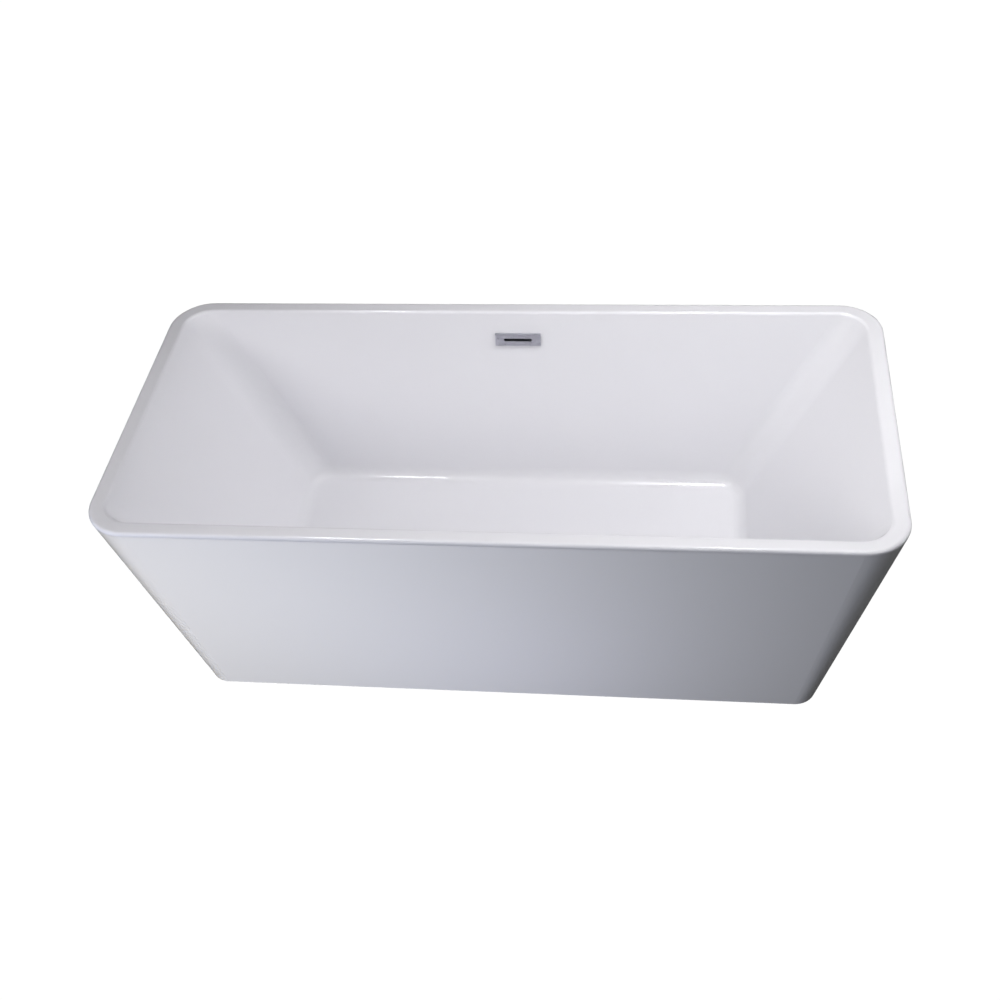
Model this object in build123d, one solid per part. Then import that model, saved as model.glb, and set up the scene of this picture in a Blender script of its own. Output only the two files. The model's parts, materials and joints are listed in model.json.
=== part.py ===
from build123d import *
import os
from math import atan, cos, radians, sin, tan

# Freestanding bathtub: an acrylic basin bonded into a one-piece leaning skirt, carried on a
# steel frame with four levelling feet, with a pop-up drain and a slotted overflow.
# Millimetres. The origin is on the floor under the middle of the tub. +X runs along its
# length, +Y points to the long side with the overflow, and +Z is up.

# ---- Outer form ----
tub_length = 1700.0          # over the widest line of the rim
tub_width = 800.0
tub_height = 580.0
rim_corner_radius = 97.0     # seen from above
rim_edge_radius = 7.0        # rounding of the rim's outer edge
rim_thickness = 10.0
end_lean = 139.0             # how far each end face comes in from rim to floor
side_lean = 70.0             # how far each long face comes in from rim to floor
foot_corner_radius = 50.0    # corner of the skirt at the floor, seen from above
skirt_wall = 5.0
skirt_lift = 3.0             # skirt's lower edge over the floor, with the feet screwed in

# ---- Bathing well ----
rim_width = 36.0             # from the rim's widest line to the well's upper edge
well_edge_radius = 8.0       # rounding of the well's upper edge
well_corner_radius = 62.0
floor_height = 130.0         # bathing floor over the room's floor
end_recline = 265.0          # how far each reclined end wall comes in, rim to bathing floor
side_recline = 102.0
floor_corner_radius = 62.0
floor_fillet = 36.0          # between the bathing floor and its walls
basin_wall = 6.0

# ---- Base board and frame ----
board_thickness = 16.0
board_margin = 58.0          # board's edge inside the bathing floor's sharp edge
board_side_margin = 38.0
board_corner_radius = 20.0
drain_cutout_radius = 55.0
tube_size = 25.0             # square steel tube
tube_wall = 1.5
rail_end_margin = 47.0       # rail's end inside the bathing floor's sharp edge
rail_inset = 66.0            # rail's centre line inside the bathing floor's sharp edge
middle_member_spacing = 320.0
cap_plate = 2.0              # face of the plastic cap that closes a rail's end
cap_plug_depth = 12.0
cap_clearance = 0.15

# ---- Levelling feet ----
foot_end_inset = 80.0        # foot's axis from the end of its rail
rod_radius = 6.0
rod_clearance = 0.05         # running gap between the rod's thread and its nuts
rod_hole_clearance = 0.5
rod_stop_gap = 0.3           # rod's top under the tube's upper wall, screwed right in
rod_chamfer = 1.0
weld_nut_flats = 19.0
weld_nut_height = 10.0
lock_nut_height = 7.0
pad_radius = 30.0
pad_plate = 6.0
pad_neck_radius = 13.0
pad_height = 22.0
pad_socket_depth = 14.0
sole_thickness = 3.0
sole_inset = 1.5

# ---- Skirt battens and braces ----
batten_thickness = 20.0
batten_height = 40.0
batten_lift = 4.0            # batten's lower face over the skirt's lower edge
batten_corner_gap = 12.0     # batten's end from the start of the skirt's corner
brace_width = 34.0
brace_thickness = 3.0
brace_screw_spacing = 18.0
brace_screw_margin = 10.0    # screw's centre from the end of the brace's upright leg

# ---- Screws ----
board_screw_radius = 2.5
board_screw_bite = 12.0      # depth in the board
brace_screw_radius = 2.0
brace_screw_bite = 14.0      # depth in the batten or in the tube
screw_head_height = 2.4
screw_head_overhang = 2.2
screw_drive_depth = 1.4
screw_clearance = 0.1

# ---- Pop-up drain ----
drain_flange_radius = 38.0
drain_flange_thickness = 2.5
drain_barrel_radius = 23.9
drain_bore_radius = 20.5
drain_barrel_length = 48.0
drain_seat_depth = 2.0       # bevel that leads from the flange into the bore
drain_recess_gap = 4.0       # recess in the bathing floor, outside the flange
drain_edge = 0.8             # bevel of the flange's outer edge
drain_hole_gap = 1.0
drain_boss_overhang = 8.0    # thickened floor outside the recess
upper_washer_thickness = 1.5
lower_washer_thickness = 4.0
lower_washer_radius = 34.0
washer_clearance = 0.3
drain_nut_flats = 60.0
drain_nut_height = 10.0
drain_thread_clearance = 0.1
spider_radius = 10.0
spider_height = 6.0
spider_arm_width = 4.0
spider_lift = 8.0            # spider's lower face over the barrel's lower end
cartridge_radius = 7.0
cartridge_collar_radius = 8.5
cartridge_collar_height = 6.0
cartridge_wall = 1.4
cartridge_cap = 2.5
cartridge_height = 26.0
stem_radius = 3.0
stem_collar_radius = 5.4
stem_collar_height = 2.0
stem_clearance = 0.05
plug_travel = 9.0            # how far the plug rises when it opens
plug_radius = 32.0
plug_edge_height = 2.0
plug_crown = 2.5
plug_boss_radius = 6.0
plug_boss_length = 5.0
plug_seal_thickness = 1.5
plug_seal_inner_radius = 22.0
plug_seal_outer_radius = 30.0
plug_seat_gap = 0.3
spring_wire_radius = 0.45
spring_radius = 4.4
spring_turns = 5
spring_end_gap = 0.6

# ---- Waste tee and tailpiece ----
tee_gap = 6.0                # under the drain's lock nut
tee_height = 66.0
tee_socket_wall = 4.5
tee_shoulder = 4.0           # thick part of the tee under its socket
tee_body_radius = 24.5
tee_bore_radius = 17.5
branch_height = 20.0         # branch's axis over the tee's lower end
branch_root_radius = 10.5
branch_root_length = 6.0     # outside the tee's body
tail_radius = 20.0
tail_wall = 2.0
tail_insert = 6.0
tail_floor_gap = 4.0
tail_bead_height = 2.0       # raised ring under the slip nut
tail_bead_overhang = 1.0
tail_bead_gap = 0.3
tail_clearance = 0.2
slip_nut_radius = 29.0
slip_nut_ribs = 12
slip_nut_rib_radius = 2.5
slip_nut_overlap = 9.0       # how much of the tee's lower end it takes in
slip_washer_thickness = 2.5
slip_nut_lip = 3.0

# ---- Overflow ----
overflow_drop = 69.0         # centre of the overflow under the rim
cover_length = 110.0
cover_width = 31.0
cover_height = 6.0
cover_skin = 1.5
cover_edge = 0.6
slot_length = 68.0
slot_width = 7.0
clamp_plate_thickness = 2.0
clamp_plate_gap = 0.3
port_length = 76.0           # hole in the basin's wall
port_width = 16.0
port_gap = 1.0
port_wall = 2.0
port_stop = 0.5              # port's end behind the basin's inner face
overflow_screw_spacing = 92.0
overflow_screw_radius = 1.8
overflow_boss_radius = 4.5
overflow_boss_length = 14.0
gasket_thickness = 2.5
gasket_overhang = 2.0
box_length = 108.0
box_width = 32.0
box_depth = 22.5
box_wall = 2.5

# ---- Overflow hose ----
hose_radius = 11.0
hose_bore_radius = 8.5
barb_radius = 8.4
barb_bore_radius = 6.5
barb_length = 24.0
barb_shoulder = 5.0          # bare barb between the fitting and the hose's end
clamp_band_width = 9.0
clamp_band_thickness = 0.8
clamp_place = 4.0            # clamp's near edge from the hose's end
clamp_housing_length = 12.0
clamp_housing_height = 6.0
clamp_clearance = 0.05
hose_bend_share = 0.45       # bend's tangent length in the shorter of its two runs


class LeaningWalls:
    """Four flat walls with rounded corners that lean in evenly from a top outline to a lower one."""

    def __init__(self, top, lower, top_height, lower_height):
        """Each outline is a half length, a half width and a corner radius."""
        self.top = top
        self.lower = lower
        self.top_height = top_height
        self.rise = top_height - lower_height
        self.end_angle = atan((top[0] - lower[0]) / self.rise)
        self.side_angle = atan((top[1] - lower[1]) / self.rise)

    def outline(self, height, offset=0.0):
        """Outline at a height, moved outwards by an offset measured square to the walls."""
        share = (self.top_height - height) / self.rise
        half_length, half_width, radius = (a + (b - a) * share for a, b in zip(self.top, self.lower))
        return (
            half_length + offset / cos(self.end_angle),
            half_width + offset / cos(self.side_angle),
            radius + offset,
        )

    def block(self, low, high, offset=0.0):
        """Solid that the walls enclose between two heights."""
        sections = []
        for height in (low, high):
            half_length, half_width, radius = self.outline(height, offset)
            outline = RectangleRounded(2 * half_length, 2 * half_width, radius)
            sections.append(Pos(0, 0, height) * outline)
        return loft(sections, ruled=True)


def sharp_growth(lean):
    """How far a leaning face would pass the rim's widest line if the rim's edge were sharp."""
    angle = atan(lean / tub_height)
    return rim_edge_radius * (1 / cos(angle) + tan(angle) - 1)


# ---- Outlines that everything else follows ----
rim_half_length = tub_length / 2 + sharp_growth(end_lean)
rim_half_width = tub_width / 2 + sharp_growth(side_lean)
well_half_length = tub_length / 2 - rim_width
well_half_width = tub_width / 2 - rim_width
floor_half_length = well_half_length - end_recline
floor_half_width = well_half_width - side_recline

skirt_form = LeaningWalls(
    (rim_half_length, rim_half_width, rim_corner_radius),
    (rim_half_length - end_lean, rim_half_width - side_lean, foot_corner_radius),
    tub_height,
    0.0,
)
well_form = LeaningWalls(
    (well_half_length, well_half_width, well_corner_radius),
    (floor_half_length, floor_half_width, floor_corner_radius),
    tub_height,
    floor_height,
)

# ---- Heights of the stack under the bathing floor ----
rim_underside = tub_height - rim_thickness
basin_underside = floor_height - basin_wall
board_underside = basin_underside - board_thickness
tube_underside = board_underside - tube_size
tube_middle = board_underside - tube_size / 2
weld_nut_underside = tube_underside - weld_nut_height

# ---- Plan positions of the frame ----
rail_half_length = floor_half_length - rail_end_margin
rail_y = floor_half_width - rail_inset
end_member_x = rail_half_length - tube_size / 2
member_places = (-end_member_x, -middle_member_spacing / 2, middle_member_spacing / 2, end_member_x)
foot_x = rail_half_length - foot_end_inset
foot_places = {
    "front_left": (-foot_x, -rail_y),
    "front_right": (foot_x, -rail_y),
    "rear_left": (-foot_x, rail_y),
    "rear_right": (foot_x, rail_y),
}
board_screw_x = (foot_x + middle_member_spacing / 2) / 2
board_screw_places = [(x, y) for x in (-board_screw_x, board_screw_x) for y in (-rail_y, rail_y)]

# ---- Drain stack, from the bathing floor down ----
recess_depth = drain_flange_thickness + upper_washer_thickness
recess_radius = drain_flange_radius + drain_recess_gap
recess_floor = floor_height - recess_depth
boss_underside = recess_floor - basin_wall
drain_nut_top = boss_underside - lower_washer_thickness
drain_nut_underside = drain_nut_top - drain_nut_height
barrel_end = floor_height - drain_barrel_length
tee_top = drain_nut_underside - tee_gap
tee_bottom = tee_top - tee_height
branch_z = tee_bottom + branch_height
slip_nut_underside = tee_bottom - slip_washer_thickness - slip_nut_lip
tail_bead_low = slip_nut_underside - tail_bead_gap - tail_bead_height
spider_underside = barrel_end + spider_lift
cartridge_top = spider_underside + cartridge_height
plug_underside = floor_height + plug_seat_gap + plug_seal_thickness
stem_collar_top = cartridge_top - cartridge_cap - plug_travel - plug_seat_gap
spring_low = spider_underside + cartridge_wall

# ---- Overflow: a frame on the rear wall's inner face, x along the tub, y up the wall ----
overflow_height = tub_height - overflow_drop
overflow_frame = Plane(
    origin=(0, well_form.outline(overflow_height)[1], overflow_height),
    x_dir=(1, 0, 0),
    z_dir=(0, -cos(well_form.side_angle), sin(well_form.side_angle)),
)
gasket_front = -basin_wall
box_front = gasket_front - gasket_thickness
box_middle = box_front - box_depth / 2
barb_start = barb_shoulder + box_width / 2
branch_face = tee_body_radius + branch_root_length


def group(solids):
    """Separate solids kept together as one node."""
    return Compound(children=list(solids))


def slot_prism(length, width, low, high):
    """Prism with round ends between two heights."""
    return Pos(0, 0, low) * extrude(SlotOverall(length, width), high - low)


def tube_between(outer_radius, inner_radius, low, high):
    """Upright tube between two heights."""
    height = high - low
    middle = (high + low) / 2
    return Pos(0, 0, middle) * (Cylinder(outer_radius, height) - Cylinder(inner_radius, height))


def hex_nut(flats, height, bore_radius):
    """Hexagonal nut that stands on its lower face."""
    blank = extrude(RegularPolygon(flats / 2, 6, major_radius=False), height)
    return blank - Pos(0, 0, height / 2) * Cylinder(bore_radius, height)


def screw(shank_radius, length):
    """Pan-head screw, its head's seat at the origin and its shank along -Z."""
    head_radius = shank_radius + screw_head_overhang
    head = Pos(0, 0, screw_head_height / 2) * Cylinder(head_radius, screw_head_height)
    head = fillet(head.edges().group_by(Axis.Z)[-1], screw_head_height / 2)
    drive = RegularPolygon(0.8 * shank_radius, 6)
    head -= Pos(0, 0, screw_head_height - screw_drive_depth) * extrude(drive, screw_drive_depth)
    shank = Pos(0, 0, -length / 2) * Cylinder(shank_radius, length)
    return head + chamfer(shank.edges().group_by(Axis.Z)[0], shank_radius / 2)


def make_basin():
    """Basin: the well, its rim, the drain's recess and the overflow's port."""
    outside = well_form.block(basin_underside, rim_underside, basin_wall)
    outside = fillet(outside.edges().group_by(Axis.Z)[0], floor_fillet + basin_wall)
    rim = skirt_form.block(rim_underside, tub_height)
    rim = fillet(rim.edges().group_by(Axis.Z)[-1], rim_edge_radius)
    boss_radius = recess_radius + drain_boss_overhang
    boss = Pos(0, 0, (boss_underside + basin_underside) / 2) * Cylinder(boss_radius, recess_depth)
    well = well_form.block(floor_height, tub_height)
    well = fillet(well.edges().group_by(Axis.Z)[0], floor_fillet)
    shell = outside + rim + boss - well
    inner_edges = shell.edges().group_by(Axis.Z)[-1].sort_by(SortBy.DISTANCE)[:8]
    shell = fillet(inner_edges, well_edge_radius)
    shell -= Pos(0, 0, floor_height - recess_depth / 2) * Cylinder(recess_radius, recess_depth)
    hole_radius = drain_barrel_radius + drain_hole_gap
    shell -= Pos(0, 0, floor_height) * Cylinder(hole_radius, 4 * recess_depth + 2 * basin_wall)
    port = slot_prism(port_length, port_width, -2 * basin_wall, 2 * basin_wall)
    for x in (-overflow_screw_spacing / 2, overflow_screw_spacing / 2):
        port += Pos(x, 0, 0) * Cylinder(overflow_screw_radius + screw_clearance, 4 * basin_wall)
    return shell - overflow_frame * port


def make_skirt():
    """One-piece outer skirt, bonded under the basin's rim."""
    outside = skirt_form.block(skirt_lift, rim_underside)
    inside = skirt_form.block(skirt_lift, rim_underside, -skirt_wall)
    return outside - inside


def make_base_board():
    """Board bonded under the bathing floor, open around the drain."""
    length = 2 * (floor_half_length - board_margin)
    width = 2 * (floor_half_width - board_side_margin)
    outline = RectangleRounded(length, width, board_corner_radius)
    board = Pos(0, 0, board_underside) * extrude(outline, board_thickness)
    board -= Pos(0, 0, board_underside) * Cylinder(drain_cutout_radius, 3 * board_thickness)
    pilot = Cylinder(board_screw_radius + screw_clearance, 2 * board_screw_bite)
    for x, y in board_screw_places:
        board -= Pos(x, y, board_underside) * pilot
    return board


# ---- Steel frame ----
def make_rail(side):
    """Long square tube of the frame, on the front (-1) or the rear (+1) side."""
    length = 2 * rail_half_length
    bore = tube_size - 2 * tube_wall
    rail = Box(length, tube_size, tube_size) - Box(length, bore, bore)
    rod_hole = Pos(0, 0, -tube_size / 2) * Cylinder(rod_radius + rod_hole_clearance, tube_size)
    screw_hole = Cylinder(board_screw_radius + screw_clearance, 2 * tube_size)
    for x in (-foot_x, foot_x):
        rail -= Pos(x, 0, 0) * rod_hole
    for x in (-board_screw_x, board_screw_x):
        rail -= Pos(x, 0, 0) * screw_hole
    return (Pos(0, side * rail_y, tube_middle) * rail) - brace_screw_holes()


def make_cross_member(x):
    """Square tube welded between the two rails."""
    length = 2 * rail_y - tube_size
    bore = tube_size - 2 * tube_wall
    member = Box(tube_size, length, tube_size) - Box(bore, length, bore)
    return (Pos(x, 0, tube_middle) * member) - brace_screw_holes()


def make_rail_caps():
    """Plastic plugs that close the four ends of the rails."""
    plug_size = tube_size - 2 * tube_wall - 2 * cap_clearance
    plate = Pos(cap_plate / 2, 0, 0) * Box(cap_plate, tube_size, tube_size)
    cap = plate + Pos(-cap_plug_depth / 2, 0, 0) * Box(cap_plug_depth, plug_size, plug_size)
    caps = []
    for end, turn in ((1, 0), (-1, 180)):
        for side in (-1, 1):
            place = Pos(end * rail_half_length, side * rail_y, tube_middle)
            caps.append(place * Rot(0, 0, turn) * cap)
    return group(caps)


def make_board_screws():
    """Screws that hold the rails up to the base board, driven from below."""
    pan_head = screw(board_screw_radius, tube_size + board_screw_bite)
    return group(Pos(x, y, tube_underside) * Rot(180, 0, 0) * pan_head for x, y in board_screw_places)


def make_weld_nuts():
    """Nuts welded under the rails, one over each foot."""
    nut = hex_nut(weld_nut_flats, weld_nut_height, rod_radius + rod_clearance)
    return group(Pos(x, y, weld_nut_underside) * nut for x, y in foot_places.values())


def make_lock_nuts():
    """Thin nuts that lock the feet, tightened up to the welded nuts."""
    nut = hex_nut(weld_nut_flats, lock_nut_height, rod_radius + rod_clearance)
    low = weld_nut_underside - lock_nut_height
    return group(Pos(x, y, low) * nut for x, y in foot_places.values())


# ---- Levelling feet ----
def make_foot_rod(x, y):
    """Threaded rod of a levelling foot, from its socket in the pad to just under the tube's top."""
    low = pad_height - pad_socket_depth
    high = board_underside - tube_wall - rod_stop_gap
    rod = Cylinder(rod_radius, high - low)
    rod = chamfer(rod.edges().group_by(Axis.Z)[-1], rod_chamfer)
    return Pos(x, y, (low + high) / 2) * rod


def make_foot_pad(x, y):
    """Moulded pad of a levelling foot: a round plate with a tapered neck."""
    plate_top = sole_thickness + pad_plate
    bevel = pad_plate / 3
    profile = Polyline(
        (0, sole_thickness),
        (pad_radius, sole_thickness),
        (pad_radius, plate_top - bevel),
        (pad_radius - bevel, plate_top),
        (pad_neck_radius + bevel, plate_top),
        (pad_neck_radius, plate_top + bevel),
        (pad_neck_radius - bevel, pad_height),
        (0, pad_height),
        close=True,
    )
    pad = revolve(Plane.XZ * make_face(profile), Axis.Z)
    pad -= Pos(0, 0, pad_height) * Cylinder(rod_radius, 2 * pad_socket_depth)
    return Pos(x, y, 0) * pad


def make_foot_sole(x, y):
    """Rubber disc under a foot's pad."""
    return Pos(x, y, sole_thickness / 2) * Cylinder(pad_radius - sole_inset, sole_thickness)


# ---- Battens inside the skirt's lower edge, and the braces that tie them to the frame ----
batten_low = skirt_lift + batten_lift
batten_high = batten_low + batten_height
batten_back = skirt_form.outline(batten_low, -skirt_wall)
batten_end_x = batten_back[0] - batten_thickness
batten_side_y = batten_back[1] - batten_thickness
batten_corner = batten_back[2] + batten_corner_gap


def make_side_batten(side):
    """Wooden batten bonded inside a long face of the skirt, front (-1) or rear (+1)."""
    length = 2 * (batten_back[0] - batten_corner)
    depth = 4 * batten_thickness
    middle = Pos(0, side * (batten_side_y + depth / 2), (batten_low + batten_high) / 2)
    strip = middle * Box(length, depth, batten_height)
    return (skirt_form.block(batten_low, batten_high, -skirt_wall) & strip) - brace_screw_holes()


def make_end_batten(end):
    """Wooden batten bonded inside an end face of the skirt, left (-1) or right (+1)."""
    length = 2 * (batten_back[1] - batten_corner)
    depth = 4 * batten_thickness
    middle = Pos(end * (batten_end_x + depth / 2), 0, (batten_low + batten_high) / 2)
    strip = middle * Box(depth, length, batten_height)
    return (skirt_form.block(batten_low, batten_high, -skirt_wall) & strip) - brace_screw_holes()


side_brace_x = (board_screw_x + middle_member_spacing / 2) / 2
side_brace_start = rail_y - tube_size / 2
side_brace_reach = batten_side_y - side_brace_start
end_brace_start = end_member_x - tube_size / 2
end_brace_reach = batten_end_x - end_brace_start


def side_brace_places():
    """Where the four side braces start, each with its +X turned outwards."""
    places = []
    for side in (-1, 1):
        for x in (-side_brace_x, side_brace_x):
            places.append(Pos(x, side * side_brace_start, 0) * Rot(0, 0, 90 * side))
    return places


def end_brace_places():
    """Where the two end braces start, each with its +X turned outwards."""
    return [Pos(end_brace_start, 0, 0), Pos(-end_brace_start, 0, 0) * Rot(0, 0, 180)]


def brace(reach):
    """Bent strap: a level leg under the tube, and an upright leg against the batten."""
    drop = tube_underside - batten_low
    leg_middle = reach - brace_thickness / 2
    level = Pos(reach / 2, 0, tube_underside - brace_thickness / 2) * Box(reach, brace_width, brace_thickness)
    upright = Pos(leg_middle, 0, tube_underside - drop / 2) * Box(brace_thickness, brace_width, drop)
    strap = level + upright
    bend = strap.edges().filter_by(Axis.Y).sort_by_distance((reach, 0, tube_underside))[0]
    strap = fillet(bend, brace_thickness)
    hole = Cylinder(brace_screw_radius + screw_clearance, 3 * brace_thickness)
    for seat in brace_screw_seats(reach):
        strap -= seat * hole
    return strap


def brace_screw_seats(reach):
    """Screw seats on one brace, each with the screw's shank along -Z: two up, two outwards."""
    seats = []
    for shift in (-brace_screw_spacing / 2, brace_screw_spacing / 2):
        under_tube = Pos(tube_size / 2, shift, tube_underside - brace_thickness)
        seats.append(under_tube * Rot(180, 0, 0))
        on_leg = Pos(reach - brace_thickness, 0, (batten_low + batten_high) / 2 + shift)
        seats.append(on_leg * Rot(0, -90, 0))
    return seats


def all_brace_screw_seats():
    """Screw seats of all six braces."""
    seats = [place * seat for place in side_brace_places() for seat in brace_screw_seats(side_brace_reach)]
    seats += [place * seat for place in end_brace_places() for seat in brace_screw_seats(end_brace_reach)]
    return seats


def brace_screw_holes():
    """All the brace screws' holes as one cutting tool."""
    length = 2 * (brace_thickness + brace_screw_bite)
    hole = Cylinder(brace_screw_radius + screw_clearance, length)
    return Compound([seat * hole for seat in all_brace_screw_seats()])


def make_brace_screws():
    """Screws of the six braces."""
    pan_head = screw(brace_screw_radius, brace_thickness + brace_screw_bite)
    return group(seat * pan_head for seat in all_brace_screw_seats())


# ---- Pop-up drain ----
def make_drain_body():
    """Drain flange and threaded barrel, with the spider that carries the plug's cartridge."""
    flange_underside = floor_height - drain_flange_thickness
    profile = Polyline(
        (drain_bore_radius, barrel_end),
        (drain_barrel_radius, barrel_end),
        (drain_barrel_radius, flange_underside),
        (drain_flange_radius, flange_underside),
        (drain_flange_radius, floor_height - drain_edge),
        (drain_flange_radius - drain_edge, floor_height),
        (drain_bore_radius + drain_seat_depth, floor_height),
        (drain_bore_radius, floor_height - drain_seat_depth),
        close=True,
    )
    body = revolve(Plane.XZ * make_face(profile), Axis.Z)
    spider_middle = spider_underside + spider_height / 2
    spider = Cylinder(spider_radius, spider_height)
    arm_length = (drain_bore_radius + drain_barrel_radius) / 2
    for turn in (90, 210, 330):
        spider += Rot(0, 0, turn) * Pos(arm_length / 2, 0, 0) * Box(arm_length, spider_arm_width, spider_height)
    spider -= Cylinder(cartridge_radius, spider_height)
    return body + Pos(0, 0, spider_middle) * spider


def make_cartridge():
    """Closed housing that guides the plug's stem and holds its spring, seated on the spider."""
    bore_radius = cartridge_radius - cartridge_wall
    profile = Polyline(
        (0, spider_underside),
        (cartridge_radius, spider_underside),
        (cartridge_radius, spider_underside + spider_height),
        (cartridge_collar_radius, spider_underside + spider_height),
        (cartridge_collar_radius, spider_underside + spider_height + cartridge_collar_height),
        (cartridge_radius, spider_underside + spider_height + cartridge_collar_height),
        (cartridge_radius, cartridge_top),
        (stem_radius + stem_clearance, cartridge_top),
        (stem_radius + stem_clearance, cartridge_top - cartridge_cap),
        (bore_radius, cartridge_top - cartridge_cap),
        (bore_radius, spider_underside + cartridge_wall),
        (0, spider_underside + cartridge_wall),
        close=True,
    )
    return revolve(Plane.XZ * make_face(profile), Axis.Z)


def make_spring():
    """Compression spring between the cartridge's floor and the stem's collar."""
    low = spring_low + spring_wire_radius + spring_end_gap
    high = stem_collar_top - stem_collar_height - spring_wire_radius - spring_end_gap
    path = Helix((high - low) / spring_turns, high - low, spring_radius)
    section = Plane(origin=path @ 0, z_dir=path % 0) * Circle(spring_wire_radius)
    return Pos(0, 0, low) * sweep(section, path=path, is_frenet=True)


def make_plug_stem():
    """Stem of the plug, with the collar that keeps it in the cartridge."""
    low = stem_collar_top - stem_collar_height
    high = plug_underside
    shaft = Pos(0, 0, (low + high) / 2) * Cylinder(stem_radius, high - low)
    collar = Pos(0, 0, low + stem_collar_height / 2) * Cylinder(stem_collar_radius, stem_collar_height)
    return shaft + collar


def make_plug_cap():
    """Domed cap of the plug, with a boss on its underside that takes the stem."""
    crown_top = plug_underside + plug_edge_height + plug_crown
    edge_top = plug_underside + plug_edge_height
    dome = TangentArc((0, crown_top), (plug_radius, edge_top), tangent=(1, 0))
    sides = Polyline(
        (plug_radius, edge_top),
        (plug_radius, plug_underside),
        (plug_boss_radius, plug_underside),
        (plug_boss_radius, plug_underside - plug_boss_length),
        (stem_radius, plug_underside - plug_boss_length),
        (stem_radius, plug_underside),
        (0, plug_underside),
        (0, crown_top),
    )
    return revolve(Plane.XZ * make_face(dome + sides), Axis.Z)


def make_plug_seal():
    """Rubber ring under the plug's cap."""
    low = floor_height + plug_seat_gap
    return tube_between(plug_seal_outer_radius, plug_seal_inner_radius, low, plug_underside)


def make_upper_washer():
    """Rubber washer between the drain's flange and the basin."""
    outer = drain_flange_radius - drain_edge
    inner = drain_barrel_radius + washer_clearance
    return tube_between(outer, inner, recess_floor, recess_floor + upper_washer_thickness)


def make_lower_washer():
    """Rubber washer between the basin and the drain's lock nut."""
    inner = drain_barrel_radius + washer_clearance
    return tube_between(lower_washer_radius, inner, drain_nut_top, boss_underside)


def make_drain_lock_nut():
    """Hexagonal nut that clamps the drain to the basin."""
    nut = hex_nut(drain_nut_flats, drain_nut_height, drain_barrel_radius + drain_thread_clearance)
    return Pos(0, 0, drain_nut_underside) * nut


# ---- Waste tee and tailpiece ----
def make_waste_tee():
    """Tee under the drain: a socket on the barrel, a branch for the overflow, an end for the tailpiece."""
    socket_radius = drain_barrel_radius + drain_thread_clearance
    socket_outer = socket_radius + tee_socket_wall
    tee = tube_between(tee_body_radius, tee_bore_radius, tee_bottom, barrel_end)
    tee += tube_between(socket_outer, socket_radius, barrel_end, tee_top)
    tee += tube_between(socket_outer, tee_bore_radius, barrel_end - tee_shoulder, barrel_end)
    outward = Pos(0, 0, branch_z) * Rot(-90, 0, 0)
    root = outward * Pos(0, 0, branch_face / 2) * Cylinder(branch_root_radius, branch_face)
    barb_reach = branch_face + barb_shoulder + barb_length
    barb = outward * Pos(0, 0, barb_reach / 2) * Cylinder(barb_radius, barb_reach)
    tee += (root + barb) - Cylinder(tee_bore_radius, 4 * tee_height)
    tee -= outward * Pos(0, 0, barb_reach / 2) * Cylinder(barb_bore_radius, barb_reach)
    return tee - Pos(0, 0, tee_bottom) * Cylinder(tail_radius + tail_clearance, 2 * tail_insert)


def make_tailpiece():
    """Straight outlet pipe that the building's waste is joined to, with a bead under the slip nut."""
    bore_radius = tail_radius - tail_wall
    pipe = tube_between(tail_radius, bore_radius, tail_floor_gap, tee_bottom + tail_insert)
    bead_radius = tail_radius + tail_bead_overhang
    return pipe + tube_between(bead_radius, bore_radius, tail_bead_low, tail_bead_low + tail_bead_height)


def make_slip_washer():
    """Rubber washer that the slip nut presses up against the tee."""
    inner = tail_radius + tail_clearance
    return tube_between(tee_body_radius, inner, tee_bottom - slip_washer_thickness, tee_bottom)


def make_slip_nut():
    """Ribbed nut that holds the tailpiece in the tee."""
    low = slip_nut_underside
    high = tee_bottom + slip_nut_overlap
    blank = Pos(0, 0, low) * extrude(Circle(slip_nut_radius), high - low)
    rib = Circle(slip_nut_rib_radius)
    ribs = [loc * rib for loc in PolarLocations(slip_nut_radius, slip_nut_ribs)]
    blank += Pos(0, 0, low) * extrude(Sketch() + ribs, high - low)
    blank -= Pos(0, 0, (low + high) / 2) * Cylinder(tail_radius + tail_clearance, high - low)
    pocket_low = low + slip_nut_lip
    pocket = Cylinder(tee_body_radius + drain_thread_clearance, high - pocket_low)
    return blank - Pos(0, 0, (pocket_low + high) / 2) * pocket


# ---- Overflow, built in its own frame on the rear wall ----
overflow_screw_places = [(x, 0) for x in (-overflow_screw_spacing / 2, overflow_screw_spacing / 2)]


def drilled(plate, radius):
    """A flat overflow piece with its two screw holes."""
    for x, y in overflow_screw_places:
        plate -= Pos(x, y, 0) * Cylinder(radius, 4 * box_depth)
    return plate


def make_clamp_plate():
    """Plate in the bath that the overflow's screws pull against."""
    shrink = 2 * (cover_skin + clamp_plate_gap)
    plate = Pos(0, 0, clamp_plate_thickness / 2) * Box(
        cover_length - shrink, cover_width - shrink, clamp_plate_thickness)
    plate -= slot_prism(port_length - 2 * port_wall, port_width - 2 * port_wall, 0, clamp_plate_thickness)
    return overflow_frame * drilled(plate, overflow_screw_radius + screw_clearance)


def make_overflow_cover():
    """Slotted cover that snaps over the clamp plate and its screws."""
    cover = Pos(0, 0, cover_height / 2) * Box(cover_length, cover_width, cover_height)
    cover = fillet(cover.edges().filter_by(Axis.Z), cover_edge)
    cover = fillet(cover.edges().group_by(Axis.Z)[-1], cover_edge)
    depth = cover_height - cover_skin
    cover -= Pos(0, 0, depth / 2) * Box(cover_length - 2 * cover_skin, cover_width - 2 * cover_skin, depth)
    return overflow_frame * (cover - slot_prism(slot_length, slot_width, 0, cover_height))


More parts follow.
